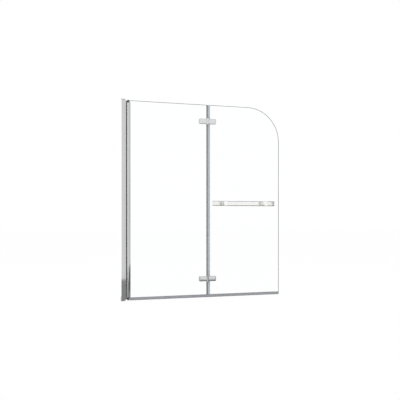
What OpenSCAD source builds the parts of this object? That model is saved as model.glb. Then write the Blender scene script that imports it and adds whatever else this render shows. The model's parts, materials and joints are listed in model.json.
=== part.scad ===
// Folding bath screen: a wall channel with a telescoping profile, a pivoting post that
// holds the inner pane, and an outer pane on two glass-to-glass hinges with a towel rail.
// Origin: foot of the wall face, on the mid plane of the glass. X leaves the wall along
// the screen, Y points to the side of the towel rail, Z is up.

/* [Screen] */
// Width from the wall to the free edge, with the telescoping profile pushed in
screen_w = 1200; // [960:1:1500]
// Height of the wall channel with its cap
screen_h = 1400; // [1150:1:1700]
// Thickness of both panes
glass_t = 6; // [5:0.5:8]
// Radius of the outer top corner
corner_r = 250; // [60:5:400]
// Radius of the pencil edge along the rims of the panes
glass_edge_r = 2.75; // [0.5:0.25:3]
// Height of the panes above the bath rim
glass_lift = 10; // [10:0.5:14]
// Distance from the top of the channel down to the top of the panes
glass_drop = 6; // [4:0.5:20]
// Gap between the two panes at the fold
pane_gap = 8; // [7:0.5:11]
// Distance at which the folded outer pane stops short of the pivot axis
fold_stop = 16; // [15:0.5:60]

/* [Wall channel] */
// Width of the channel across the glass
channel_w = 28; // [25:0.5:40]
// Distance that the channel stands out from the wall
channel_d = 25; // [25:0.5:32]
// Wall thickness of the channel
channel_wall = 1.8; // [1.4:0.1:2.4]
// Diameter of the wall screw holes
wall_hole_d = 5.5; // [4:0.1:7]
// Distance from the ends of the channel to its outer wall screw holes
wall_hole_end = 100; // [40:5:180]
// Distance from the ends of the channel to its outer lock screws
lock_end = 200; // [80:5:300]
// Thickness of the channel's top cap
cap_t = 3; // [1.5:0.5:3.5]

/* [Adjusting profile] */
// Travel of the telescoping profile
adjust_travel = 15; // [8:0.5:16]
// Distance that the profile stands proud of the channel when pushed in
profile_proud = 8; // [8:0.5:14]
// Wall thickness of the profile
profile_wall = 1.6; // [1.2:0.1:2.2]
// Distance from the ends of the channel to the ends of the profile
profile_end = 5.5; // [5.5:0.5:8]

/* [Pivot post] */
// Distance from the front of the profile to the pivot axis
pivot_reach = 18; // [17:0.5:24]
// Radius of the round back of the post
post_r = 11; // [10:0.25:13]
// Distance from the pivot axis to the mouth of the glass slot
jaw_reach = 15; // [14:0.5:20]
// Thickness of the jaws beside the glass slot, at their tips
jaw_t = 2.3; // [1.6:0.1:3]
// Depth that the inner pane goes into the post
glass_bite = 7.5; // [6:0.5:9]
// Distance from the ends of the channel to the ends of the post
post_end = 23; // [21:0.5:30]
// Radius of the post's round chamber
chamber_r = 4.5; // [4.2:0.1:5]
// Diameter of the pivot pins
pivot_pin_d = 6; // [5:0.5:7]
// Height of the pivot lugs' arms
lug_h = 10; // [7:0.5:12]
// Distance from the ends of the channel to the ends of the pivot bosses
boss_end = 4; // [3:0.5:7]

/* [Hinges] */
// Height of the hinge plates
hinge_h = 36; // [32:1:50]
// Length of one hinge plate from the fold axis
hinge_leaf = 63.5; // [55:0.5:75]
// Thickness of the knuckle plates
plate_t = 7; // [6.5:0.5:9]
// Thickness of the clamp plates
clamp_t = 5.5; // [5:0.5:8]
// Radius of the corners of the plates
plate_corner_r = 4; // [1:0.5:6]
// Radius of the bullnose at the free end of the knuckle plates
plate_nose_r = 5.5; // [2:0.5:6]
// Radius along the long edges of the knuckle plates
plate_edge_r = 2.5; // [0.5:0.5:4]
// Radius along the edges of the clamp plates
clamp_edge_r = 1.5; // [0.5:0.5:3]
// Radius of the knuckles
knuckle_r = 7.5; // [6.25:0.25:8]
// Distance that the knuckles stand past the plates, above and below
knuckle_over = 2.5; // [0:0.5:4]
// Distance from the plate's outer face to the fold axis
axis_proud = 1.3; // [1:0.1:2]
// Diameter of the hinge pins
hinge_pin_d = 8; // [6:0.5:8]
// Diameter of the clamp screws
clamp_screw_d = 6; // [4:0.5:6]
// Distance from the fold axis to the nearer clamp screw
screw_near = 22; // [18:1:26]
// Distance between the two clamp screws of a leaf
screw_pitch = 28; // [20:1:32]
// Diameter of the glass holes for the clamp screws
hinge_glass_hole_d = 10; // [9.5:0.5:14]
// Distance from the top of the panes down to the upper hinge's centre
hinge_top = 120; // [60:5:300]
// Distance from the bottom of the panes up to the lower hinge's centre
hinge_bottom = 125; // [60:5:300]

/* [Seals] */
// Height that the bottom seals reach above the bottom of the panes
seal_grip = 12; // [8:0.5:20]
// Thickness of the seals' clip walls
seal_wall = 1.1; // [0.8:0.1:1.4]
// Height of the lowest fin above the bath rim
fin_clear = 1.5; // [0.5:0.1:3]
// Width that the joint seal grips on the outer pane
joint_grip = 14.5; // [7:0.5:16]
// Width that the joint seal's fin laps behind the inner pane
joint_lap = 3; // [3:0.5:9]

/* [Towel rail] */
// Length of the rail
rail_l = 496; // [400:1:520]
// Height of the rail's flat oval tube
rail_h = 37; // [24:1:44]
// Depth of the rail's flat oval tube
rail_d = 12; // [9:0.5:16]
// Wall thickness of the rail
rail_wall = 1.5; // [1:0.1:2]
// Length of the rail's end caps outside the tube
rail_cap_l = 4; // [2.5:0.5:6]
// Height of the rail's centre line
rail_z = 682; // [400:1:900]
// Distance from the free edge of the glass to the middle of the rail
rail_edge = 266; // [262:1:290]
// Distance between the rail's two fixings
rail_pitch = 316; // [200:1:380]
// Distance from the glass to the tube
rail_gap = 36; // [25:1:60]
// Diameter of the rail's round rosettes and cover caps
rosette_d = 40; // [36:1:56]
// Diameter of the rail's stems
stem_d = 14; // [12:0.5:20]
// Diameter of the glass holes for the rail
rail_glass_hole_d = 14; // [10:0.5:18]
// Diameter of the rail's fixing screws
rail_screw_d = 6; // [5:0.5:8]

/* [Hidden] */
$fn = 48;
seat_gap = 0.03;  // between pieces seated in one body
run_gap = 0.06;   // radial running clearance of the pins
move_gap = 0.4;   // between pieces that move past each other
over = 1;         // how far a cut runs past the face it opens

chrome = [0.80, 0.81, 0.83];
darkMetal = [0.30, 0.31, 0.33];
steel = [0.62, 0.63, 0.65];
clearGlass = [0.80, 0.92, 0.88, 0.35];
greySeal = [0.56, 0.57, 0.60];
paleSeal = [0.74, 0.78, 0.82, 0.8];
blackRubber = [0.10, 0.10, 0.11];
nylon = [0.90, 0.90, 0.88];

channel_h = screen_h - cap_t;
channel_edge_r = 1.2;
groove_d = 0.6;
wall_hole_zs = [for (i = [0:3]) wall_hole_end + i * (screen_h - 2 * wall_hole_end) / 3];
lock_zs = [lock_end, screen_h / 2, screen_h - lock_end];

// telescoping profile
profile_half = channel_w / 2 - channel_wall - 0.3;
profile_x0 = channel_wall + move_gap;
profile_x1 = channel_d + profile_proud;
profile_inner = profile_half - profile_wall;
lock_r = 2;
lock_slot_r = lock_r + 0.3;
lock_x = profile_x0 + 1 + lock_slot_r + adjust_travel;

// slot for the bulb seal in the front of the profile
foot_half = 3.8;
foot_d = 2.6;
neck_half = 1.8;
slot_box_half = foot_half + 1.4;
slot_box_x = profile_x1 - profile_wall - foot_d - 1.6;
notch_z = screen_h - post_end + 1.5;

// post and inner pane
pivot_x = profile_x1 + pivot_reach;
pane_half = glass_t / 2;
pencil_r = min(glass_edge_r, pane_half - 0.2);
gasket_t = 1.2;
slot_half = pane_half + gasket_t;
jaw_half = slot_half + jaw_t;
jaw_x = pivot_x + jaw_reach;
glass_x0 = jaw_x - glass_bite;
slot_x = glass_x0 - gasket_t;
lug_r = glass_bite <= jaw_reach - 7.5 ? 6.5 : glass_x0 - pivot_x - 1;
bush_flange_t = 1.6;
lug_z = screen_h - post_end + bush_flange_t + move_gap;
boss_z = screen_h - boss_end;
bush_l = 20;
pin_r = pivot_pin_d / 2;

fold_x = (screen_w + pivot_x + fold_stop) / 2;
inner_edge = fold_x - pane_gap / 2;
outer_edge = fold_x + pane_gap / 2;
glass_z0 = glass_lift;
glass_z1 = screen_h - glass_drop;

// hinges, measured from the mid plane of the glass
hinge_zs = [glass_z1 - hinge_top, glass_z0 + hinge_bottom];
pad_t = 1.2;
plate_back = pane_half + pad_t;
plate_front = plate_back + plate_t;
axis_y = -(plate_front + axis_proud);
clamp_front = plate_back + clamp_t;
leaf_start = knuckle_r + 0.5;
barrel_half = hinge_h / 2 + knuckle_over;
knuckle_gap = 0.3;
mid_knuckle_h = 20;
knuckle_end_h = barrel_half - mid_knuckle_h / 2 - knuckle_gap;
hinge_pin_r = hinge_pin_d / 2;
hinge_bush_r = hinge_pin_r + 1.2;
clamp_r = clamp_screw_d / 2;
screw_us = [screw_near, screw_near + screw_pitch];
csk_r = clamp_r * 1.8;
csk_h = csk_r - clamp_r;
thread_l = plate_t - 1.5;

// seals
seal_in = pane_half + 0.05;
seal_out = seal_in + seal_wall;
seal_end = 0.3;   // from the fold axis to the end of each bottom seal
seal_x0 = glass_lift + seal_grip < post_end ? glass_x0 + 2 : jaw_x + 1.5;
joint_bulb_sunk = 0.3;
joint_bulb_r = (pane_gap - seal_wall + joint_bulb_sunk - 0.05 - move_gap) / 2;
hinge_cut = hinge_h / 2 + 0.5;

// towel rail
rail_x = screen_w - rail_edge;
rail_y = pane_half + rail_gap + rail_d / 2;
tube_half = rail_l / 2 - rail_cap_l;
rosette_r = rosette_d / 2;
washer_t = 1;
rosette_t = 4.5;
stem_y0 = pane_half + washer_t + rosette_t + 2 * seat_gap;
stem_y1 = pane_half + rail_gap - seat_gap;
rail_screw_r = rail_screw_d / 2;
holder_t = 2;
head_h = 2.6;
cover_h = holder_t + head_h + 2.4;
insert_l = 24;

// ---- helpers ----

module rounded_rect(w, h, r) {
    square([w - 2 * r, h], center = true);
    square([w, h - 2 * r], center = true);
    for (sx = [-1, 1], sy = [-1, 1]) translate([sx * (w / 2 - r), sy * (h / 2 - r)]) circle(r);
}

// an outline in X and Z, as thick as t, with its back at y and its front towards -Y
module upright(y, t) { translate([0, y, 0]) rotate([90, 0, 0]) linear_extrude(t) children(); }

// an outline in Y and Z, run along X
module along_x(x, l) { translate([x, 0, 0]) rotate([90, 0, 90]) linear_extrude(l) children(); }

// a round bar along -Y from y
module bar_y(y, l, r) { translate([0, y, 0]) rotate([90, 0, 0]) cylinder(r = r, h = l); }

// a 45 degree countersink that opens at y and narrows towards -Y to the hole's radius
module countersink(y, head_r, hole_r) {
    translate([0, y + over, 0]) rotate([90, 0, 0])
        cylinder(r1 = head_r + over, r2 = hole_r, h = head_r + over - hole_r);
}

// half section of a disc with one rounded rim
module disc_section(r, h, e) {
    square([r - e, h]);
    square([r, h - e]);
    translate([r - e, h - e]) circle(e);
}

// the bottom copy of a piece that is drawn at the top of the screen
module at_bottom() {
    translate([0, 0, screen_h / 2]) mirror([0, 0, 1]) translate([0, 0, -screen_h / 2]) children();
}

// ---- wall channel ----

module wall_channel() {
    color(chrome) difference() {
        linear_extrude(channel_h) difference() {
            translate([channel_d / 2, 0]) rounded_rect(channel_d, channel_w, channel_edge_r);
            translate([channel_wall, channel_wall - channel_w / 2])
                square([channel_d, channel_w - 2 * channel_wall]);
            // groove that guides the drill
            polygon([[channel_wall - groove_d, 0], [channel_wall + over, -groove_d - over],
                [channel_wall + over, groove_d + over]]);
        }
        for (z = wall_hole_zs) translate([-over, 0, z]) rotate([0, 90, 0])
            cylinder(r = wall_hole_d / 2, h = channel_wall + 2 * over);
        for (z = lock_zs) translate([lock_x, 0, z])
            bar_y(channel_w / 2 + over, channel_wall + 2 * over, lock_r + seat_gap);
    }
}

// a lid over the end of the channel with a rounded top rim, and a tongue that clips inside
module wall_channel_cap() {
    rim_r = 1;
    tongue = [2.6, 12, 7];
    lid_t = cap_t - seat_gap;
    color(greySeal) {
        translate([0, 0, channel_h + seat_gap]) intersection() {
            translate([channel_d / 2, 0]) linear_extrude(lid_t)
                rounded_rect(channel_d, channel_w, channel_edge_r);
            along_x(0, channel_d) rounded_rect(channel_w, 2 * lid_t, rim_r);
            upright(channel_w, 2 * channel_w) translate([channel_d / 2, 0])
                rounded_rect(channel_d, 2 * lid_t, rim_r);
        }
        translate([channel_wall + seat_gap, -tongue.y / 2, channel_h - tongue.z])
            cube([tongue.x, tongue.y, tongue.z + 0.5]);
    }
}

module lock_screws() {
    head_y = channel_w / 2 + seat_gap;
    color(steel) for (z = lock_zs) translate([lock_x, 0, z]) difference() {
        union() {
            translate([0, head_y, 0]) rotate([-90, 0, 0]) rotate_extrude() disc_section(3.6, 2.2, 0.9);
            bar_y(head_y + over, channel_wall + profile_wall + 5, lock_r);
        }
        // cross slot
        for (a = [0, 90]) translate([0, head_y + 2.2, 0]) rotate([0, a, 0])
            cube([3.6, 2.4, 0.8], center = true);
    }
}

module lock_screw_caps() {
    cap_y = channel_w / 2 + seat_gap;
    color(chrome) for (z = lock_zs) translate([lock_x, cap_y, z]) rotate([-90, 0, 0]) rotate_extrude()
        difference() {
            disc_section(5, 3.4, 1.4);
            translate([-over, -over]) square([3.75 + over, 2.4 + over]);
            translate([-10, -10]) square([10, 20]);
        }
}

// ---- telescoping profile ----

module profile_section() {
    for (s = [-1, 1]) translate([profile_x0, s > 0 ? profile_inner : -profile_half])
        square([profile_x1 - profile_x0, profile_wall]);
    difference() {
        union() {
            translate([profile_x1 - profile_wall, -profile_half]) square([profile_wall, 2 * profile_half]);
            translate([slot_box_x, -slot_box_half])
                square([profile_x1 - slot_box_x - 0.5, 2 * slot_box_half]);
        }
        translate([profile_x1 - profile_wall - foot_d - 0.4, -foot_half - 0.2])
            square([foot_d + 0.4, 2 * foot_half + 0.4]);
        translate([profile_x1 - profile_wall - over, -neck_half - 0.2])
            square([profile_wall + 2 * over, 2 * neck_half + 0.4]);
    }
}

// room for a pivot lug's arm in the front of the profile
module arm_notch() {
    translate([slot_box_x - over, -lug_r - move_gap, notch_z])
        cube([profile_x1 - slot_box_x + 2 * over, 2 * lug_r + 2 * move_gap, post_end]);
}

block_screw_x = profile_x1 - profile_wall - 3.2;
block_screw_z = screen_h - post_end - 9;
block_screw_r = 1.75;
block_head_r = 3;

module block_screw_hole() {
    translate([block_screw_x, 0, block_screw_z]) {
        bar_y(profile_half + over, profile_half, block_screw_r + seat_gap);
        countersink(profile_half, block_head_r + seat_gap, block_screw_r + seat_gap);
    }
}

module adjusting_profile() {
    color(chrome) difference() {
        translate([0, 0, profile_end]) linear_extrude(screen_h - 2 * profile_end) profile_section();
        arm_notch();
        at_bottom() arm_notch();
        block_screw_hole();
        at_bottom() block_screw_hole();
        for (z = lock_zs) translate([lock_x, 0, z]) {
            bar_y(profile_half + over, profile_wall + 2 * over, lock_slot_r);
            translate([-adjust_travel, 0, 0])
                bar_y(profile_half + over, profile_wall + 2 * over, lock_slot_r);
            translate([-adjust_travel, profile_inner - over, -lock_slot_r])
                cube([adjust_travel, profile_wall + 2 * over, 2 * lock_slot_r]);
        }
    }
}

// a cast block plugged into the profile, with a head over its end, an arm through the notch
// in its front and a boss round the pivot pin
module pivot_block() {
    plug_x0 = profile_x0 + 5;
    plug_x1 = profile_x1 - profile_wall - 0.1;
    plug_half = profile_inner - 0.1;
    plug_z = lug_z - 22;
    block_top = screen_h - profile_end;
    head_t = 1.2;
    arm_x = plug_x1 - 4;
    color(darkMetal) difference() {
        union() {
            translate([plug_x0, -plug_half, plug_z])
                cube([plug_x1 - plug_x0, 2 * plug_half, block_top - plug_z + 0.5]);
            translate([plug_x0, -profile_half, block_top + seat_gap])
                cube([profile_x1 - plug_x0, 2 * profile_half, head_t]);
            translate([arm_x, -lug_r, lug_z]) cube([pivot_x - arm_x, 2 * lug_r, lug_h]);
            translate([pivot_x, 0, lug_z]) rotate_extrude() disc_section(lug_r, boss_z - lug_z, 1.5);
        }
        // the block straddles the seal's slot in the profile
        translate([slot_box_x - 0.3, -slot_box_half - 0.2, plug_z - over])
            cube([profile_x1 - slot_box_x, 2 * slot_box_half + 0.4, notch_z - plug_z + over + 0.1]);
        translate([pivot_x, 0, lug_z - over]) cylinder(r = pin_r + seat_gap, h = boss_z - lug_z + 2 * over);
        block_screw_hole();
    }
}

module top_pivot_block() { pivot_block(); }
module bottom_pivot_block() { at_bottom() pivot_block(); }

module pivot_pin() {
    top = boss_z + seat_gap;
    bottom = screen_h - post_end - bush_l - 2;
    tip = 1;
    color(steel) translate([pivot_x, 0, 0]) {
        translate([0, 0, bottom]) cylinder(r = pin_r, h = top - bottom + 0.5);
        translate([0, 0, bottom - tip]) cylinder(r1 = pin_r - tip, r2 = pin_r, h = tip);
        translate([0, 0, top]) rotate_extrude() disc_section(pin_r + 1.8, 1.6, 0.8);
    }
}

module top_pivot_pin() { pivot_pin(); }
module bottom_pivot_pin() { at_bottom() pivot_pin(); }

module block_screw() {
    translate([block_screw_x, profile_half, block_screw_z]) rotate([90, 0, 0]) {
        cylinder(r1 = block_head_r, r2 = block_screw_r, h = block_head_r - block_screw_r);
        cylinder(r = block_screw_r, h = 6.5);
    }
}

module pivot_block_screws() {
    color(steel) {
        block_screw();
        at_bottom() block_screw();
    }
}

module post_seal() {
    foot_x = profile_x1 - profile_wall - foot_d - 0.2;
    bulb_x0 = profile_x1 + 0.05;
    bulb_x1 = pivot_x - post_r - 0.5;
    bulb_half = 5;
    nose_r = 2.2;
    color(blackRubber) translate([0, 0, post_end + 1]) linear_extrude(screen_h - 2 * post_end - 2)
        difference() {
            union() {
                translate([foot_x, -foot_half]) square([foot_d, 2 * foot_half]);
                translate([foot_x, -neck_half]) square([bulb_x0 - foot_x + over, 2 * neck_half]);
                translate([bulb_x0, -bulb_half]) square([bulb_x1 - bulb_x0 - nose_r, 2 * bulb_half]);
                translate([bulb_x0, nose_r - bulb_half])
                    square([bulb_x1 - bulb_x0, 2 * (bulb_half - nose_r)]);
                for (s = [-1, 1]) translate([bulb_x1 - nose_r, s * (bulb_half - nose_r)]) circle(nose_r);
            }
            translate([bulb_x0 + 1.2, -bulb_half + 1.2])
                square([bulb_x1 - bulb_x0 - 2.6, 2 * bulb_half - 2.4]);
        }
}

// ---- post and inner pane ----

module post_outline() {
    translate([pivot_x, 0]) circle(post_r, $fn = 96);
    polygon([[pivot_x + 2, -post_r + 0.8], [jaw_x, -jaw_half], [jaw_x, jaw_half],
        [pivot_x + 2, post_r - 0.8]]);
}

module post_section() {
    ring_r = chamber_r + 1.7;
    skin_r = post_r - 1.7;
    difference() {
        post_outline();
        translate([pivot_x, 0]) circle(chamber_r);
        translate([slot_x, -slot_half]) square([jaw_x - slot_x + over, 2 * slot_half]);
        // hollow back of the extrusion, stiffened by a rib
        translate([pivot_x, 0]) difference() {
            circle(skin_r);
            circle(ring_r);
            translate([-1, -post_r]) square([2 * post_r, 2 * post_r]);
            translate([-post_r, -0.9]) square([post_r, 1.8]);
        }
    }
}

module pivot_post() {
    color(chrome) translate([0, 0, post_end]) linear_extrude(screen_h - 2 * post_end) post_section();
}

module post_bush() {
    z = screen_h - post_end;
    color(nylon) translate([pivot_x, 0, 0]) difference() {
        union() {
            translate([0, 0, z - bush_l]) cylinder(r = chamber_r - seat_gap, h = bush_l + over);
            translate([0, 0, z + seat_gap]) cylinder(r = lug_r, h = bush_flange_t - seat_gap);
        }
        translate([0, 0, z - bush_l - over])
            cylinder(r = pin_r + run_gap, h = bush_l + bush_flange_t + 2 * over);
    }
}

// closes the end of the post round the bush's flange, with a notch for the pane and its seal
module post_end_cap() {
    cap_hole_r = lug_r + 0.1;
    cap_notch_half = seal_out + 0.1;
    translate([0, 0, screen_h - post_end + seat_gap]) linear_extrude(bush_flange_t - seat_gap - 0.2)
        difference() {
            post_outline();
            translate([pivot_x, 0]) circle(cap_hole_r);
            translate([glass_x0 - 0.3, -cap_notch_half]) square([glass_bite + 2, 2 * cap_notch_half]);
        }
}

module post_end_caps() {
    color(darkMetal) {
        post_end_cap();
        at_bottom() post_end_cap();
    }
}

module top_post_bush() { post_bush(); }
module bottom_post_bush() { at_bottom() post_bush(); }

module glazing_gasket() {
    lip_x = jaw_x + seat_gap;
    color(greySeal) translate([0, 0, post_end + 0.5]) linear_extrude(screen_h - 2 * post_end - 1)
        difference() {
            union() {
                translate([slot_x + seat_gap, -slot_half + seat_gap])
                    square([lip_x + 0.5 - slot_x, 2 * (slot_half - seat_gap)]);
                translate([lip_x, -slot_half - 0.9]) square([1, 2 * slot_half + 1.8]);
            }
            translate([glass_x0 - seat_gap, -pane_half - seat_gap])
                square([glass_bite + 10, glass_t + 2 * seat_gap]);
        }
}

module hinge_glass_holes(side) {
    for (z = hinge_zs, u = screw_us) translate([fold_x + side * u, 0, z])
        bar_y(pane_half + over, glass_t + 2 * over, hinge_glass_hole_d / 2);
}

// a pane from x0 to x1 with pencil edges all round
module pane(x0, x1) {
    h = glass_z1 - glass_z0;
    intersection() {
        translate([(x0 + x1) / 2, 0, glass_z0]) linear_extrude(h)
            rounded_rect(x1 - x0, glass_t, pencil_r);
        along_x(x0, x1 - x0) translate([0, glass_z0 + h / 2]) rounded_rect(glass_t, h, pencil_r);
    }
}

module inner_glass() {
    color(clearGlass) difference() {
        pane(glass_x0, inner_edge);
        hinge_glass_holes(-1);
    }
}

// a clip round the lower edge of a pane, with a soft bulb and a drip fin below it
module bottom_seal_section() {
    web = 1.6;
    z0 = glass_z0 - 0.05;
    bulb = (z0 - web - fin_clear) / 2;
    difference() {
        union() {
            translate([-seal_out, z0 - web]) square([2 * seal_out, seal_grip + web]);
            translate([0, z0 - web - bulb + 0.2]) circle(bulb + 0.2);
            polygon([[-seal_out, z0 + 2.5], [-seal_out - 3.2, z0 - 4.2], [-seal_out - 2.3, z0 - 4.4],
                [-seal_out + 0.6, z0 - 0.2], [-seal_out + 0.6, z0 + 2.5]]);
        }
        translate([-seal_in, z0]) square([2 * seal_in, seal_grip + over]);
        translate([0, z0 - web - bulb + 0.2]) circle(bulb - 0.7);
    }
}

module inner_bottom_seal() {
    color(greySeal) along_x(seal_x0, fold_x - seal_end - seal_x0) bottom_seal_section();
}

// ---- hinges: drawn for the inner leaf, at the fold axis and the hinge's centre ----

module at_hinge(i, side) {
    translate([fold_x, 0, hinge_zs[i]]) {
        if (side < 0) children();
        else mirror([1, 0, 0]) children();
    }
}

// outline of a hinge plate, drawn in from its edge on all sides
module plate_outline(drawn_in) {
    w = hinge_leaf - leaf_start;
    translate([-leaf_start - w / 2, 0])
        rounded_rect(w - 2 * drawn_in, hinge_h - 2 * drawn_in, plate_corner_r - drawn_in);
}

// a slab as long and high as a hinge plate, its outer face rounded at the free end and along
// both long edges; back and front are its distances from the glass's mid plane
module soft_slab(back, front, nose_r, edge_r) {
    intersection() {
        translate([0, 0, -hinge_h / 2]) linear_extrude(hinge_h) {
            translate([-hinge_leaf, back]) square([hinge_leaf - leaf_start, front - back - nose_r]);
            translate([-hinge_leaf + nose_r, back])
                square([hinge_leaf - leaf_start - nose_r, front - back]);
            translate([-hinge_leaf + nose_r, front - nose_r]) circle(nose_r);
        }
        along_x(-hinge_leaf - over, hinge_leaf) {
            translate([back, -hinge_h / 2]) square([front - back - edge_r, hinge_h]);
            translate([back, edge_r - hinge_h / 2]) square([front - back, hinge_h - 2 * edge_r]);
            for (s = [-1, 1]) translate([front - edge_r, s * (hinge_h / 2 - edge_r)]) circle(edge_r);
        }
        upright(front + over, front - back + 2 * over) plate_outline(0);
    }
}

module knuckle(z0, h) {
    web_t = plate_t - 1.5;
    at_web = -leaf_start - 1;
    translate([0, axis_y, z0]) cylinder(r = knuckle_r, h = h);
    web_z0 = max(z0, plate_edge_r - hinge_h / 2);
    web_z1 = min(z0 + h, hinge_h / 2 - plate_edge_r);
    translate([at_web, -plate_front, web_z0]) cube([-at_web - 1, web_t, web_z1 - web_z0]);
}

// inner leaves carry the two end knuckles, outer leaves the middle one
module knuckle_plate(is_inner) {
    bore_r = is_inner ? hinge_pin_r : hinge_bush_r;
    color(chrome) difference() {
        union() {
            mirror([0, 1, 0]) soft_slab(plate_back, plate_front, plate_nose_r, plate_edge_r);
            if (is_inner) {
                knuckle(-barrel_half, knuckle_end_h);
                knuckle(barrel_half - knuckle_end_h, knuckle_end_h);
            } else knuckle(-mid_knuckle_h / 2, mid_knuckle_h);
        }
        translate([0, axis_y, -barrel_half - over])
            cylinder(r = bore_r + seat_gap, h = 2 * (barrel_half + over));
        for (u = screw_us) translate([-u, 0, 0])
            bar_y(-plate_back + over, thread_l + over, clamp_r + seat_gap);
    }
}

module clamp_plate() {
    color(chrome) difference() {
        soft_slab(plate_back, clamp_front, clamp_edge_r, clamp_edge_r);
        for (u = screw_us) translate([-u, 0, 0]) {
            bar_y(clamp_front + over, clamp_t + 2 * over, clamp_r + seat_gap);
            countersink(clamp_front, csk_r + seat_gap, clamp_r + seat_gap);
        }
    }
}

module hinge_pads() {
    inset = 0.6;
    pad = pad_t - 2 * seat_gap;
    sleeve_r = hinge_glass_hole_d / 2 - seat_gap;
    color(blackRubber) {
        // near pad with the sleeves that line the glass holes
        difference() {
            union() {
                upright(-pane_half - seat_gap, pad) plate_outline(inset);
                for (u = screw_us) translate([-u, 0, 0])
                    bar_y(pane_half - 0.1, glass_t + 0.1, sleeve_r);
            }
            for (u = screw_us) translate([-u, 0, 0])
                bar_y(pane_half + over, glass_t + pad_t + 2 * over, clamp_r + 0.1);
        }
        difference() {
            upright(plate_back - seat_gap, pad) plate_outline(inset);
            for (u = screw_us) translate([-u, 0, 0])
                bar_y(plate_back + over, pad_t + 2 * over, clamp_r + 0.1);
        }
    }
}

module clamp_screws() {
    socket_r = clamp_r * 0.62;
    color(steel) for (u = screw_us) translate([-u, clamp_front, 0]) rotate([90, 0, 0]) difference() {
        union() {
            cylinder(r1 = csk_r, r2 = clamp_r, h = csk_h);
            cylinder(r = clamp_r, h = clamp_front + plate_back + thread_l - 0.6);
        }
        translate([0, 0, -over]) cylinder(r = socket_r, h = 2.6 + over, $fn = 6);
    }
}

module hinge_pin() {
    half = barrel_half + seat_gap;
    color(chrome) translate([0, axis_y, 0]) {
        translate([0, 0, -half]) cylinder(r = hinge_pin_r, h = 2 * half);
        for (s = [0, 1]) mirror([0, 0, s]) translate([0, 0, half])
            rotate_extrude() disc_section(knuckle_r - 0.8, 2, 1);
    }
}

module hinge_bush() {
    half = mid_knuckle_h / 2 - seat_gap;
    color(nylon) translate([0, axis_y, -half]) difference() {
        cylinder(r = hinge_bush_r, h = 2 * half);
        translate([0, 0, -over]) cylinder(r = hinge_pin_r + run_gap, h = 2 * half + 2 * over);
    }
}

module upper_inner_hinge_plate() { at_hinge(0, -1) knuckle_plate(true); }
module upper_inner_clamp_plate() { at_hinge(0, -1) clamp_plate(); }
module upper_inner_hinge_pads() { at_hinge(0, -1) hinge_pads(); }
module upper_inner_clamp_screws() { at_hinge(0, -1) clamp_screws(); }
module upper_hinge_pin() { at_hinge(0, -1) hinge_pin(); }
module upper_outer_hinge_plate() { at_hinge(0, 1) knuckle_plate(false); }
module upper_outer_clamp_plate() { at_hinge(0, 1) clamp_plate(); }
module upper_outer_hinge_pads() { at_hinge(0, 1) hinge_pads(); }
module upper_outer_clamp_screws() { at_hinge(0, 1) clamp_screws(); }
module upper_hinge_bush() { at_hinge(0, 1) hinge_bush(); }
module lower_inner_hinge_plate() { at_hinge(1, -1) knuckle_plate(true); }
module lower_inner_clamp_plate() { at_hinge(1, -1) clamp_plate(); }
module lower_inner_hinge_pads() { at_hinge(1, -1) hinge_pads(); }
module lower_inner_clamp_screws() { at_hinge(1, -1) clamp_screws(); }
module lower_hinge_pin() { at_hinge(1, -1) hinge_pin(); }
module lower_outer_hinge_plate() { at_hinge(1, 1) knuckle_plate(false); }
module lower_outer_clamp_plate() { at_hinge(1, 1) clamp_plate(); }
module lower_outer_hinge_pads() { at_hinge(1, 1) hinge_pads(); }
module lower_outer_clamp_screws() { at_hinge(1, 1) clamp_screws(); }
module lower_hinge_bush() { at_hinge(1, 1) hinge_bush(); }

// ---- outer pane ----

// the quarter disc of the outer top corner, with the pencil edge turned round it
module pane_corner() {
    rotate([90, 0, 0]) rotate_extrude(angle = 90, $fn = 240) intersection() {
        rounded_rect(2 * corner_r, glass_t, pencil_r);
        translate([0, -glass_t]) square([2 * corner_r, 2 * glass_t]);
    }
}

module outer_glass() {
    color(clearGlass) difference() {
        union() {
            difference() {
                pane(outer_edge, screen_w);
                translate([screen_w - corner_r, -glass_t, glass_z1 - corner_r])
                    cube([corner_r + over, 2 * glass_t, corner_r + over]);
            }
            translate([screen_w - corner_r, 0, glass_z1 - corner_r]) pane_corner();
        }
        hinge_glass_holes(1);
        for (s = [-1, 1]) translate([rail_x + s * rail_pitch / 2, 0, rail_z])
            bar_y(pane_half + over, glass_t + 2 * over, rail_glass_hole_d / 2);
    }
}

module outer_bottom_seal() {
    x0 = fold_x + seal_end;
    color(greySeal) along_x(x0, screen_w - 2 - x0) bottom_seal_section();
}

module joint_seal_section() {
    edge = outer_edge - 0.05;
    web_x = edge - seal_wall;
    bulb_x = web_x + joint_bulb_sunk - joint_bulb_r;
    lap_y = pane_half + move_gap;
    difference() {
        union() {
            translate([web_x, -seal_out]) square([joint_grip + seal_wall, 2 * seal_out]);
            translate([bulb_x, 0]) circle(joint_bulb_r);
            // fin behind the inner pane
            polygon([[inner_edge - joint_lap, lap_y], [web_x, lap_y], [edge + 2, seal_in],
                [edge + 2, seal_out], [web_x, lap_y + 1.4], [inner_edge - joint_lap, lap_y + 0.7]]);
        }
        translate([edge, -seal_in]) square([joint_grip + over, 2 * seal_in]);
        translate([bulb_x, 0]) circle(joint_bulb_r - 0.7);
    }
}

module joint_seal() {
    low = glass_z0 + seal_grip + 0.5;
    high = glass_z1 - 1;
    spans = [[low, hinge_zs[1] - hinge_cut], [hinge_zs[1] + hinge_cut, hinge_zs[0] - hinge_cut],
        [hinge_zs[0] + hinge_cut, high]];
    color(paleSeal) for (s = spans) translate([0, 0, s[0]]) linear_extrude(s[1] - s[0]) joint_seal_section();
}

// ---- towel rail ----

module flat_oval(h, d) {
    square([d, h - d], center = true);
    for (s = [-1, 1]) translate([0, s * (h - d) / 2]) circle(d / 2);
}

module at_fixings() {
    for (s = [-1, 1]) translate([rail_x + s * rail_pitch / 2, 0, rail_z]) children();
}

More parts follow.
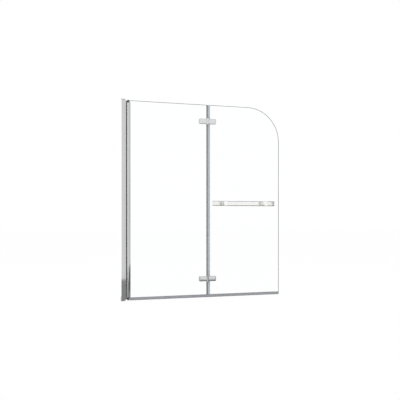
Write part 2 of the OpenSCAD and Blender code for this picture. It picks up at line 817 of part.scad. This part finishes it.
module towel_rail() {
    color(chrome) difference() {
        translate([0, rail_y, rail_z]) along_x(rail_x - tube_half, 2 * tube_half) difference() {
            flat_oval(rail_h, rail_d);
            flat_oval(rail_h - 2 * rail_wall, rail_d - 2 * rail_wall);
        }
        at_fixings()
            bar_y(rail_y - rail_d / 2 + rail_wall + over, rail_wall + 2 * over, rail_screw_r + seat_gap);
    }
}

// a flat oval end that stands l out along +X, rounded as seen from the front and from above
module oval_dome(h, d, l, front_r, top_r) {
    intersection() {
        along_x(0, l) flat_oval(h, d);
        upright(d, 2 * d) rounded_rect(2 * l, h, front_r);
        translate([0, 0, -h / 2]) linear_extrude(h) rounded_rect(2 * l, d, top_r);
    }
}

module rail_end_caps() {
    plug_l = 10;
    color(chrome) translate([rail_x, rail_y, rail_z]) for (s = [0, 1]) mirror([s, 0, 0]) {
        translate([tube_half + seat_gap, 0, 0]) oval_dome(rail_h, rail_d, rail_cap_l - seat_gap, 2.2, 1.8);
        along_x(tube_half - plug_l, plug_l + 1)
            flat_oval(rail_h - 2 * rail_wall - 2 * seat_gap, rail_d - 2 * rail_wall - 2 * seat_gap);
    }
}

// threaded blocks inside the tube, behind each stem
module rail_inserts() {
    block_d = rail_d - 2 * rail_wall - 2 * seat_gap;
    color(steel) at_fixings() difference() {
        translate([-insert_l / 2, rail_y - block_d / 2, -(rail_h - rail_d) / 2])
            cube([insert_l, block_d, rail_h - rail_d]);
        bar_y(rail_y + block_d / 2 - 1.5, block_d, rail_screw_r + seat_gap);
    }
}

module rail_stems() {
    flare = 3;
    stem_l = stem_y1 - stem_y0;
    spigot = rail_wall + 5;
    color(chrome) at_fixings() translate([0, stem_y0, 0]) rotate([-90, 0, 0]) difference() {
        union() {
            cylinder(r = stem_d / 2, h = stem_l);
            cylinder(r = rail_screw_r, h = stem_l + spigot);
            // the foot flares out to the rosette
            rotate_extrude() difference() {
                square([stem_d / 2 + flare, flare]);
                translate([stem_d / 2 + flare, flare]) circle(flare);
            }
        }
        translate([0, 0, -over]) cylinder(r = rail_screw_r + seat_gap, h = 12 + over);
    }
}

module rail_rosettes() {
    y0 = pane_half + washer_t + seat_gap;
    color(chrome) at_fixings() difference() {
        translate([0, y0, 0]) rotate([-90, 0, 0]) rotate_extrude() difference() {
            disc_section(rosette_r, rosette_t, rosette_t / 2);
            translate([-10, -10]) square([10, 30]);
        }
        bar_y(y0 + rosette_t + over, rosette_t + 2 * over, rail_screw_r + 0.2);
    }
}

module rail_washers() {
    pad = washer_t - 2 * seat_gap;
    color(paleSeal) at_fixings() {
        difference() {
            union() {
                bar_y(-pane_half - seat_gap, pad, rosette_r - 1.5);
                bar_y(pane_half - 0.1, glass_t + 0.1, rail_glass_hole_d / 2 - seat_gap);
            }
            bar_y(pane_half + over, glass_t + 4, rail_screw_r + 0.2);
        }
        difference() {
            bar_y(pane_half + washer_t - seat_gap, pad, rosette_r - 1.5);
            bar_y(pane_half + washer_t + over, 4, rail_screw_r + 0.2);
        }
    }
}

module rail_cap_holders() {
    color(steel) at_fixings() difference() {
        bar_y(-pane_half - washer_t - seat_gap, holder_t - seat_gap, rosette_r - 1.6);
        bar_y(0, 20, rail_screw_r + 0.2);
    }
}

module rail_screws() {
    head_y = -pane_half - washer_t - holder_t - seat_gap;
    grip = -head_y + stem_y0 + 9;
    color(steel) at_fixings() difference() {
        union() {
            bar_y(head_y, head_h, rail_screw_r * 1.75);
            bar_y(head_y + grip, grip + 0.5, rail_screw_r);
        }
        translate([0, head_y - head_h - over, 0]) rotate([-90, 0, 0])
            cylinder(r = rail_screw_r * 0.62, h = 2.4 + over, $fn = 6);
    }
}

module rail_cover_caps() {
    color(chrome) at_fixings() translate([0, -pane_half - washer_t - seat_gap, 0]) rotate([90, 0, 0])
        rotate_extrude() difference() {
            disc_section(rosette_r, cover_h, 3);
            translate([-over, -over]) square([rosette_r - 1.5 + over, cover_h - 1.5 + over - 0.8]);
            translate([-10, -10]) square([10, 30]);
        }
}

wall_channel();
wall_channel_cap();
lock_screws();
lock_screw_caps();
adjusting_profile();
top_pivot_block();
bottom_pivot_block();
top_pivot_pin();
bottom_pivot_pin();
pivot_block_screws();
post_seal();
pivot_post();
post_end_caps();
top_post_bush();
bottom_post_bush();
glazing_gasket();
inner_glass();
inner_bottom_seal();
upper_inner_hinge_plate();
upper_inner_clamp_plate();
upper_inner_hinge_pads();
upper_inner_clamp_screws();
upper_hinge_pin();
lower_inner_hinge_plate();
lower_inner_clamp_plate();
lower_inner_hinge_pads();
lower_inner_clamp_screws();
lower_hinge_pin();
outer_glass();
outer_bottom_seal();
joint_seal();
upper_outer_hinge_plate();
upper_outer_clamp_plate();
upper_outer_hinge_pads();
upper_outer_clamp_screws();
upper_hinge_bush();
lower_outer_hinge_plate();
lower_outer_clamp_plate();
lower_outer_hinge_pads();
lower_outer_clamp_screws();
lower_hinge_bush();
towel_rail();
rail_end_caps();
rail_inserts();
rail_stems();
rail_rosettes();
rail_washers();
rail_cap_holders();
rail_screws();
rail_cover_caps();
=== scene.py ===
import json
import math

import bpy
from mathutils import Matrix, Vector

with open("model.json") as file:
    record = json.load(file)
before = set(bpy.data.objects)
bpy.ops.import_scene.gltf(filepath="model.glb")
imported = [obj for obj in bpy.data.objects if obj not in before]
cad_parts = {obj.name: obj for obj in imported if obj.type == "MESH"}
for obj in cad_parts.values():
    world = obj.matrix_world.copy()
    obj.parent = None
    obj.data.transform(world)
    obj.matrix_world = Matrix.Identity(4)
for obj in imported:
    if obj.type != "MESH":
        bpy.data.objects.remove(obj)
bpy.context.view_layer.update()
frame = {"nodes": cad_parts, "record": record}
print("frame loaded:", len(frame["nodes"]), "nodes")

cameraSet = {
    "place": (-0.8049, -4.2287, 0.5861),
    "turn": 18.096,  # degrees to the right of +Y; the camera itself is held level
    "lens": 55.44,
    "sensor": 36.0,
    "shiftY": 0.04105,
    "near": 0.05,
    "far": 100,
}


def addCamera():
    data = bpy.data.cameras.new("photoCamera")
    data.lens = cameraSet["lens"]
    data.sensor_width = cameraSet["sensor"]
    data.shift_y = cameraSet["shiftY"]
    data.clip_start = cameraSet["near"]
    data.clip_end = cameraSet["far"]
    camera = bpy.data.objects.new("photoCamera", data)
    camera.location = cameraSet["place"]
    camera.rotation_euler = (math.radians(90), 0, -math.radians(cameraSet["turn"]))
    bpy.context.scene.collection.objects.link(camera)
    bpy.context.scene.camera = camera
    bpy.context.scene.view_settings.view_transform = "Standard"


class Value:
    # one socket inside a node tree; sums on it add their Math nodes
    def __init__(self, tree, socket):
        self.tree = tree
        self.socket = socket

    def maths(self, operation, first, second):
        return self.tree.node("Math", {"operation": operation}, {0: first, 1: second})

    def __add__(self, other):
        return self.maths("ADD", self, other)

    def __radd__(self, other):
        return self.maths("ADD", other, self)

    def __sub__(self, other):
        return self.maths("SUBTRACT", self, other)

    def __rsub__(self, other):
        return self.maths("SUBTRACT", other, self)

    def __mul__(self, other):
        return self.maths("MULTIPLY", self, other)

    def __rmul__(self, other):
        return self.maths("MULTIPLY", other, self)

    def __abs__(self):
        return self.tree.node("Math", {"operation": "ABSOLUTE"}, {0: self})

    def __gt__(self, other):
        return self.maths("GREATER_THAN", self, other)

    def __lt__(self, other):
        return self.maths("LESS_THAN", self, other)

    def isCount(self, count):
        # 1 where a value that counts whole steps is at this count
        return abs(self - count) < 0.5


class Tree:
    # the node tree of a material or of the world
    def __init__(self, owner):
        owner.use_nodes = True
        self.owner = owner
        self.nodes = owner.node_tree.nodes
        self.links = owner.node_tree.links
        self.nodes.clear()

    def node(self, kind, settings=None, sockets=None, out=0):
        made = self.nodes.new("ShaderNode" + kind)
        for name, value in (settings or {}).items():
            setattr(made, name, value)
        for name, value in (sockets or {}).items():
            if isinstance(value, Value):
                self.links.new(value.socket, made.inputs[name])
            else:
                made.inputs[name].default_value = value
        return Value(self, made.outputs[out]) if len(made.outputs) else made

    def ray(self, kind):
        return self.node("LightPath", out=kind)

    def seenStraight(self):
        # 1 for what the camera, a mirror or a pane shows, 0 for what lights the object
        return (self.ray("Is Camera Ray") + self.ray("Is Glossy Ray") + self.ray("Is Transmission Ray")) > 0.5

    def place(self, stretch=(1, 1, 1)):
        # the point in the object's own frame, in metres, drawn out where stretch is small
        point = self.node("TexCoord", out="Object")
        return self.node("VectorMath", {"operation": "MULTIPLY"}, {0: point, 1: stretch})

    def along(self, vector, axis):
        return self.node("SeparateXYZ", {}, {0: vector}, out=axis)

    def noise(self, scale, detail=3, rough=0.5, stretch=(1, 1, 1)):
        return self.node("TexNoise", {}, {"Vector": self.place(stretch), "Scale": scale, "Detail": detail,
                                          "Roughness": rough})

    def blend(self, first, second, share):
        # two colours, or two sockets, mixed by share
        ends = [end if isinstance(end, Value) else (*end, 1) for end in (first, second)]
        return self.node("Mix", {"data_type": "RGBA"}, {0: share, 6: ends[0], 7: ends[1]}, out=2)

    def bump(self, height, strength, distance):
        return self.node("Bump", {}, {"Height": height, "Strength": strength, "Distance": distance})

    def surface(self, sockets):
        return self.node("BsdfPrincipled", {}, sockets)

    def evenSurface(self, look, pattern, metallic=0.0):
        # one pattern drives the colour, the roughness and the bump
        return self.surface({
            "Base Color": self.blend(look["deep"], look["pale"], pattern),
            "Metallic": metallic,
            "Roughness": look["roughness"] + look["roughSwing"] * pattern,
            "Normal": self.bump(pattern, look["bump"], look["depth"])})

    def glow(self, light):
        return self.node("Emission", {}, {"Color": (1, 1, 1, 1), "Strength": light})

    def either(self, share, first, second):
        # two shaders, the second one where share is 1
        return self.node("MixShader", {}, {0: share, 1: first, 2: second})

    def close(self, surface, volume=None):
        self.node("OutputMaterial", {}, {"Surface": surface, **({"Volume": volume} if volume else {})})
        return self.owner


def newFinish(name):
    return Tree(bpy.data.materials.new(name))


worldSet = {"soft": 0.80}  # how brightly the white surroundings light the object


def addWorld():
    world = bpy.data.worlds.new("studio")
    bpy.context.scene.world = world
    tree = Tree(world)
    strength = worldSet["soft"] + tree.seenStraight() * (1 - worldSet["soft"])
    back = tree.node("Background", {}, {"Color": (1, 1, 1, 1), "Strength": strength})
    tree.node("OutputWorld", {}, {"Surface": back})


# size is width and height in metres, light is the brightness of the lamp's face
lampSet = {
    "keyLamp": {"place": (-2.4, -3.4, 3.2), "aim": (0.6, 0, 0.7), "size": (2.2, 1.6), "light": 2.6},
    "fillLamp": {"place": (4.2, -1.7, 2.0), "aim": (0.7, 0, 0.7), "size": (1.5, 2.2), "light": 1.6},
    "backLamp": {"place": (0.4, 3.2, 2.8), "aim": (0.6, 0, 0.7), "size": (2.6, 1.4), "light": 1.7},
}


def addLamps():
    for name, lamp in lampSet.items():
        data = bpy.data.lights.new(name, "AREA")
        data.shape = "RECTANGLE"
        data.size, data.size_y = lamp["size"]
        data.energy = lamp["light"] * math.pi * data.size * data.size_y
        obj = bpy.data.objects.new(name, data)
        obj.location = lamp["place"]
        obj.rotation_euler = (Vector(lamp["aim"]) - Vector(lamp["place"])).to_track_quat("-Z", "Y").to_euler()
        obj.visible_camera = False
        bpy.context.scene.collection.objects.link(obj)


def addSheet(name, corners, material):
    mesh = bpy.data.meshes.new(name)
    mesh.from_pydata(corners, [], [(0, 1, 2, 3)])
    mesh.materials.append(material)
    sheet = bpy.data.objects.new(name, mesh)
    bpy.context.scene.collection.objects.link(sheet)
    return sheet


floorSet = {
    "half": 20.0,
    "drop": 0.0006,
    "colour": (1.0, 1.0, 1.0),
    "white": 0.965,  # share of plain white that the camera sees on the floor
}


def addFloor():
    tree = newFinish("paleFloor")
    matt = tree.node("BsdfDiffuse", {}, {"Color": (*floorSet["colour"], 1)})
    tree.close(tree.either(tree.seenStraight() * floorSet["white"], matt, tree.glow(1.0)))
    half, height = floorSet["half"], -floorSet["drop"]
    corners = [(x * half, y * half, height) for x, y in ((-1, -1), (1, -1), (1, 1), (-1, 1))]
    addSheet("paleFloor", corners, tree.owner)


# cards that only the polished metal reflects: low and high corner, and the brightness of the face
# a pastPane card also shows in metal that looks at it through a pane
cardSet = {
    "channelFloorCard": {"low": (-0.05, -1.475, 0), "high": (0.52, 0, 0), "light": 0.36},
    "leftFloorCard": {"low": (-2.2, -1.475, 0), "high": (-0.05, 0, 0), "light": 0.6},
    "postCard": {"low": (0.28, -0.40, 0.001), "high": (0.52, -0.40, 0.19), "light": 0.22},
    "hingeFloorCard": {"low": (0.52, -1.1, 0), "high": (0.86, 0.4, 0), "light": 0.1},
    "railFloorCard": {"low": (0.86, -1.18, 0), "high": (2.2, 0.6, 0), "light": 0.06},
    "railFrontCard": {"low": (1.3, -2.4, 0), "high": (2.2, -1.18, 0), "light": 0.06},
    "farFloorCard": {"low": (2.9, 7.2, 0), "high": (3.8, 8.6, 0), "light": 0.03, "pastPane": True},
    "ceilingCard": {"low": (-1, -3.2, 3.2), "high": (3, 1.5, 3.2), "light": 0.10},
    "leftTallCard": {"low": (-3, -2.2, 0.02), "high": (-3, 1.4, 2.8), "light": 1.25},
    "rightCard": {"low": (1.80, -3, 0.35), "high": (2.58, -3, 1.1), "light": 1.06},
    "rightEdgeCard": {"low": (2.58, -3, 0.35), "high": (2.80, -3, 1.1), "light": 0.03},
    "rightDarkCard": {"low": (3.2, -1.8, 0.02), "high": (3.2, 2.6, 2.4), "light": 0.10},
    "backDarkCard": {"low": (1.47, 2.5, 0.02), "high": (3.1, 2.5, 1.5), "light": 0.12},
    "sideCard": {"low": (-0.06, 0.25, 0), "high": (-0.04, 0.25, 1.5), "light": 2.0},
}


def cardCorners(low, high):
    (x0, y0, z0), (x1, y1, z1) = low, high
    if x0 == x1:
        return [(x0, y0, z0), (x0, y1, z0), (x0, y1, z1), (x0, y0, z1)]
    if y0 == y1:
        return [(x0, y0, z0), (x1, y0, z0), (x1, y0, z1), (x0, y0, z1)]
    return [(x0, y0, z0), (x1, y0, z0), (x1, y1, z0), (x0, y1, z0)]


def cardMask(tree, pastPane):
    # 1 for a ray that the metal has mirrored once, 0 for one that a pane has mirrored
    onMetal = tree.ray("Glossy Depth").isCount(1)
    offPane = tree.ray("Is Reflection Ray") * tree.ray("Is Singular Ray")
    if pastPane:
        return onMetal * (1 - offPane)
    faces = tree.ray("Transmission Depth")  # of panes that the ray went through: 2 for one pane, 6 for three
    insidePane = (faces.isCount(2) + (faces > 5)) * tree.ray("Is Transmission Ray")
    return onMetal * (1 - offPane) * (1 - insidePane)


def addCards():
    for name, card in cardSet.items():
        tree = newFinish(name)
        nothing = tree.node("BsdfTransparent", {}, {"Color": (1, 1, 1, 1)})
        mask = cardMask(tree, card.get("pastPane", False))
        tree.close(tree.either(mask, nothing, tree.glow(card["light"])))
        sheet = addSheet(name, cardCorners(card["low"], card["high"]), tree.owner)
        sheet.visible_camera = False
        sheet.visible_diffuse = False
        sheet.visible_shadow = False


addCamera()
addWorld()
addLamps()
addFloor()
addCards()
print("studio ready:", len(lampSet), "lamps and", len(cardSet), "cards")

# in the finishes below, deep and pale are the ends of the colour, a swing is what a pattern adds to the
# roughness, bump is how strongly it shows and depth how deep it is in metres
aluminiumSet = {
    "deep": (0.56, 0.565, 0.572),
    "pale": (0.64, 0.645, 0.652),
    "dieLine": {"scale": 700, "detail": 3, "rough": 0.6, "stretch": (1, 1, 0.006)},  # left by the die
    "cloud": {"scale": 9, "detail": 2, "stretch": (1, 1, 0.4)},
    "lineShare": 0.6,
    "roughness": 0.035,
    "lineSwing": 0.04,
    "cloudSwing": 0.03,
    "bump": 0.15,
    "depth": 0.00002,
}


def brightAluminium():
    look = aluminiumSet
    tree = newFinish("brightAluminium")
    line = tree.noise(**look["dieLine"])
    cloud = tree.noise(**look["cloud"])
    pattern = look["lineShare"] * line + (1 - look["lineShare"]) * cloud
    return tree.close(tree.surface({
        "Base Color": tree.blend(look["deep"], look["pale"], pattern),
        "Metallic": 1.0,
        "Roughness": look["roughness"] + look["lineSwing"] * line + look["cloudSwing"] * cloud,
        "Normal": tree.bump(line, look["bump"], look["depth"])}))


chromeSet = {
    "hinge": {"deep": (0.67, 0.675, 0.682), "pale": (0.735, 0.74, 0.745)},
    "rail": {"deep": (0.85, 0.845, 0.825), "pale": (0.90, 0.895, 0.875)},  # a little warmer and paler than the hinge chrome: painted reflection, a brighter lit copy of the same chrome
    "smudge": {"scale": 38, "detail": 4, "rough": 0.6},
    "fine": {"scale": 900, "detail": 2},
    "ripple": {"scale": 160, "detail": 1},
    "roughness": 0.035,
    "smudgeSwing": 0.05,
    "fineSwing": 0.01,
    "bump": 0.05,
    "depth": 0.00002,
}


def chrome(kind):
    look = chromeSet
    tree = newFinish(kind + "Chrome")
    smudge = tree.noise(**look["smudge"])
    fine = tree.noise(**look["fine"])
    return tree.close(tree.surface({
        "Base Color": tree.blend(look[kind]["deep"], look[kind]["pale"], smudge),
        "Metallic": 1.0,
        "Roughness": look["roughness"] + look["smudgeSwing"] * smudge + look["fineSwing"] * fine,
        "Normal": tree.bump(tree.noise(**look["ripple"]), look["bump"], look["depth"])}))


zincSet = {
    "deep": (0.065, 0.066, 0.069),
    "pale": (0.115, 0.117, 0.121),
    "grain": {"scale": 1400, "detail": 3, "rough": 0.6},
    "metallic": 0.4,
    "roughness": 0.42,
    "roughSwing": 0.15,
    "bump": 0.35,
    "depth": 0.00006,
}


def darkZinc():
    tree = newFinish("darkZinc")
    return tree.close(tree.evenSurface(zincSet, tree.noise(**zincSet["grain"]), zincSet["metallic"]))


steelSet = {
    "deep": (0.42, 0.42, 0.43),
    "pale": (0.56, 0.56, 0.57),
    "turned": {"scale": 2600, "detail": 2, "stretch": (1, 0.05, 1)},
    "metallic": 1.0,
    "roughness": 0.20,
    "roughSwing": 0.12,
    "bump": 0.2,
    "depth": 0.00003,
}


def stainless():
    tree = newFinish("stainless")
    return tree.close(tree.evenSurface(steelSet, tree.noise(**steelSet["turned"]), steelSet["metallic"]))


greySealSet = {
    "deep": (0.30, 0.31, 0.335),
    "pale": (0.385, 0.395, 0.425),
    "drawn": {"scale": 1100, "detail": 2, "stretch": (0.01, 1, 1)},  # lines along the length
    "cloud": {"scale": 14, "detail": 3, "rough": 0.6},
    "drawnShare": 0.5,
    "roughness": 0.34,
    "cloudSwing": 0.12,
    "bump": 0.25,
    "depth": 0.00004,
}


def greySeal():
    look = greySealSet
    tree = newFinish("greySeal")
    drawn = tree.noise(**look["drawn"])
    cloud = tree.noise(**look["cloud"])
    pattern = look["drawnShare"] * drawn + (1 - look["drawnShare"]) * cloud
    return tree.close(tree.surface({
        "Base Color": tree.blend(look["deep"], look["pale"], pattern),
        "Roughness": look["roughness"] + look["cloudSwing"] * cloud,
        "Normal": tree.bump(drawn, look["bump"], look["depth"])}))


clearSealSet = {
    "clip": {"deep": (0.58, 0.62, 0.68), "pale": (0.66, 0.70, 0.76)},
    "soft": {"deep": (0.37, 0.47, 0.45), "pale": (0.45, 0.55, 0.53)},
    "clipFrom": 0.6372,  # along X, where the clip on the outer pane begins
    "drawn": {"scale": 1200, "detail": 2, "stretch": (1, 1, 0.01)},
    "cloud": {"scale": 11, "detail": 3, "rough": 0.6, "stretch": (1, 1, 0.5)},
    "roughness": 0.22,
    "cloudSwing": 0.1,
    "clear": 0.25,
    "bend": 1.45,
    "bump": 0.2,
    "depth": 0.00004,
}


def clearSeal():
    look = clearSealSet
    tree = newFinish("clearSeal")
    drawn = tree.noise(**look["drawn"])
    cloud = tree.noise(**look["cloud"])
    clip = tree.blend(look["clip"]["deep"], look["clip"]["pale"], cloud)
    soft = tree.blend(look["soft"]["deep"], look["soft"]["pale"], cloud)
    isClip = tree.along(tree.place(), "X") > look["clipFrom"]
    return tree.close(tree.surface({
        "Base Color": tree.blend(soft, clip, isClip),
        "Roughness": look["roughness"] + look["cloudSwing"] * cloud,
        "Transmission Weight": look["clear"],
        "IOR": look["bend"],
        "Normal": tree.bump(drawn, look["bump"], look["depth"])}))


rubberSet = {
    "pad": {"deep": (0.03, 0.03, 0.031), "pale": (0.06, 0.06, 0.062)},
    "post": {"deep": (0.13, 0.13, 0.132), "pale": (0.18, 0.18, 0.182)},  # the long seal is painted greyer than the pads: painted light, a paler copy of the same black rubber for the seal in its shaded groove
    "grain": {"scale": 1800, "detail": 3, "rough": 0.6},
    "roughness": 0.50,
    "roughSwing": 0.2,
    "bump": 0.4,
    "depth": 0.00005,
}


def rubber(kind):
    tree = newFinish(kind + "Rubber")
    look = {**rubberSet, **rubberSet[kind]}
    return tree.close(tree.evenSurface(look, tree.noise(**look["grain"])))


nylonSet = {
    "deep": (0.72, 0.72, 0.69),
    "pale": (0.80, 0.80, 0.78),
    "turned": {"scale": 2200, "detail": 2, "stretch": (0.1, 0.1, 1)},
    "roughness": 0.38,
    "roughSwing": 0.1,
    "bump": 0.2,
    "depth": 0.00004,
}


def whiteNylon():
    tree = newFinish("whiteNylon")
    return tree.close(tree.evenSurface(nylonSet, tree.noise(**nylonSet["turned"])))


lidSet = {
    "deep": (0.10, 0.102, 0.106),
    "pale": (0.14, 0.142, 0.148),
    "grain": {"scale": 2400, "detail": 3, "rough": 0.6},
    "roughness": 0.36,
    "roughSwing": 0.14,
    "bump": 0.3,
    "depth": 0.00004,
}


def greyPlastic():
    tree = newFinish("greyPlastic")
    return tree.close(tree.evenSurface(lidSet, tree.noise(**lidSet["grain"])))


glassSet = {
    "paneBend": 1.38,
    "wave": {"scale": 5, "detail": 1},
    "bump": 0.02,
    "depth": 0.0002,
    "flat": 0.995,  # faces that turn away from Y by more than this belong to the ground rim, which is painted near-black green as painted shade of the glass edge
    "rimShadeDeep": (0.028, 0.055, 0.047),
    "rimShadePale": (0.045, 0.085, 0.072),
    "rimBend": 1.5,
    "rimClear": 0.1,
    "rimRoughness": 0.12,
    "grindSwing": 0.1,
    "grind": {"scale": 900, "detail": 2},
    "green": (0.62, 0.88, 0.78),
    "greenDensity": 4.0,
    "shade": (0.96, 0.98, 0.97),  # what a pane lets through to its shadow
}


def clearGlass():
    look = glassSet
    tree = newFinish("clearGlass")
    facing = tree.along(tree.node("TexCoord", out="Normal"), "Y")
    isRim = abs(facing) < look["flat"]
    grind = tree.noise(**look["grind"])
    pane = tree.surface({
        "Base Color": (1, 1, 1, 1), "Transmission Weight": 1.0, "IOR": look["paneBend"], "Roughness": 0.0,
        "Normal": tree.bump(tree.noise(**look["wave"]), look["bump"], look["depth"])})
    # the rim's dark green colour is painted shade, standing in for the dark edges that the glass shows
    rim = tree.surface({
        "Base Color": tree.blend(look["rimShadeDeep"], look["rimShadePale"], grind),
        "Transmission Weight": look["rimClear"], "IOR": look["rimBend"],
        "Roughness": look["rimRoughness"] + look["grindSwing"] * grind})
    shade = tree.node("BsdfTransparent", {}, {"Color": (*look["shade"], 1)})
    green = tree.node("VolumeAbsorption", {}, {"Color": (*look["green"], 1), "Density": look["greenDensity"]})
    return tree.close(tree.either(tree.ray("Is Shadow Ray"), tree.either(isRim, pane, rim), shade), green)


finishOf = {
    "clear_glass": clearGlass(),
    "bright_aluminium": brightAluminium(),
    "chrome": chrome("hinge"),
    "dark_zinc": darkZinc(),
    "stainless": stainless(),
    "grey_seal": greySeal(),
    "clear_seal": clearSeal(),
    "black_rubber": rubber("pad"),
    "white_nylon": whiteNylon(),
    "grey_plastic": greyPlastic(),
}
# the rail pieces get a paler, warmer copy of the chrome as painted reflection, so they show brighter than the
# hinges
railChrome = chrome("rail")
railPieces = ("towel_rail", "rail_end_caps", "rail_stems", "rail_rosettes", "rail_cover_caps")
# the post seal gets a paler copy of the black rubber as painted light
ownFinish = {"post_seal": rubber("post"), **{piece: railChrome for piece in railPieces}}


def finishNodes():
    for part in frame["record"]["subparts"]:
        mesh = frame["nodes"][part["node"]].data
        mesh.materials.clear()
        mesh.materials.append(ownFinish.get(part["node"], finishOf[part["material_slot"]]))


finishNodes()
print("finishes on", len(frame["nodes"]), "nodes")
